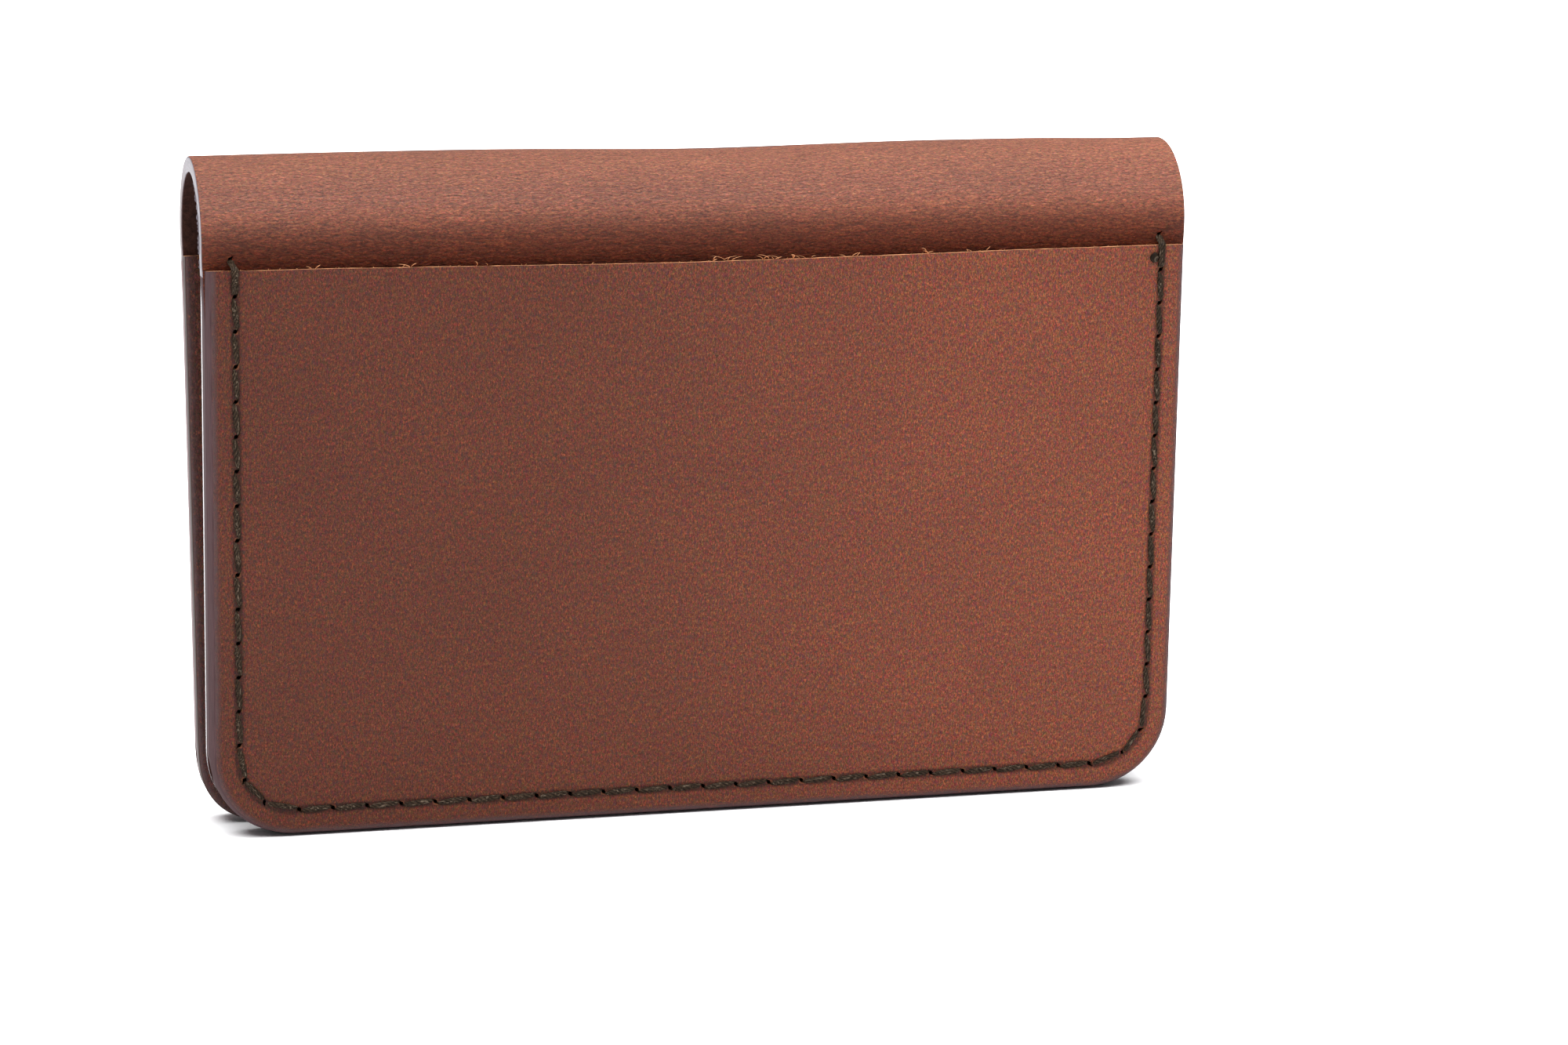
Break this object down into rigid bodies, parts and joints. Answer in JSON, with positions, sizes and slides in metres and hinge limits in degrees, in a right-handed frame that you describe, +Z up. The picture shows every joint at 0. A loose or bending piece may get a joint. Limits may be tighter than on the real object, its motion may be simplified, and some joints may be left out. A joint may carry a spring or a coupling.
{
  "type": "card holder",
  "caption": "Small leather bifold card holder with a card pocket on both faces of each half, hand saddle-stitched, that opens flat at its soft round fold.",
  "frame": {"origin": "centre of the base, on the surface that the closed holder stands on", "axes": "+Z up towards the fold, X along the fold, the front half towards -Y"},
  "size_m": [0.102, 0.0208, 0.0687],
  "materials": {
    "cover_leather": "vegetable-tanned, fine grain, satin",
    "outer_pocket_leather": "vegetable-tanned, mottled, satin",
    "inner_pocket_leather": "vegetable-tanned, matte",
    "waxed_thread": "waxed twisted polyester, semi-matte"
  },
  "bodies": {
    "spine": {"cover_spine": "cover_leather"},
    "front_half": {"cover_front_panel": "cover_leather", "front_outer_pocket": "outer_pocket_leather", "front_inner_pocket": "inner_pocket_leather", "front_stitch_thread": "waxed_thread"},
    "rear_half": {"cover_rear_panel": "cover_leather", "rear_outer_pocket": "outer_pocket_leather", "rear_inner_pocket": "inner_pocket_leather", "rear_stitch_thread": "waxed_thread"}
  },
  "joints": [
    {"name": "front_fold", "type": "hinge", "parent": "spine", "child": "front_half", "pos_m": [0, -0.00587, 0.06623], "axis": [-1, 0, 0], "range_deg": [0, 93.4]},
    {"name": "rear_fold", "type": "hinge", "parent": "spine", "child": "rear_half", "pos_m": [0, 0.00587, 0.06623], "axis": [1, 0, 0], "range_deg": [0, 93.4]}
  ],
  "couplings": [
    {"joint": "rear_fold", "follows": "front_fold", "ratio": 1}
  ]
}
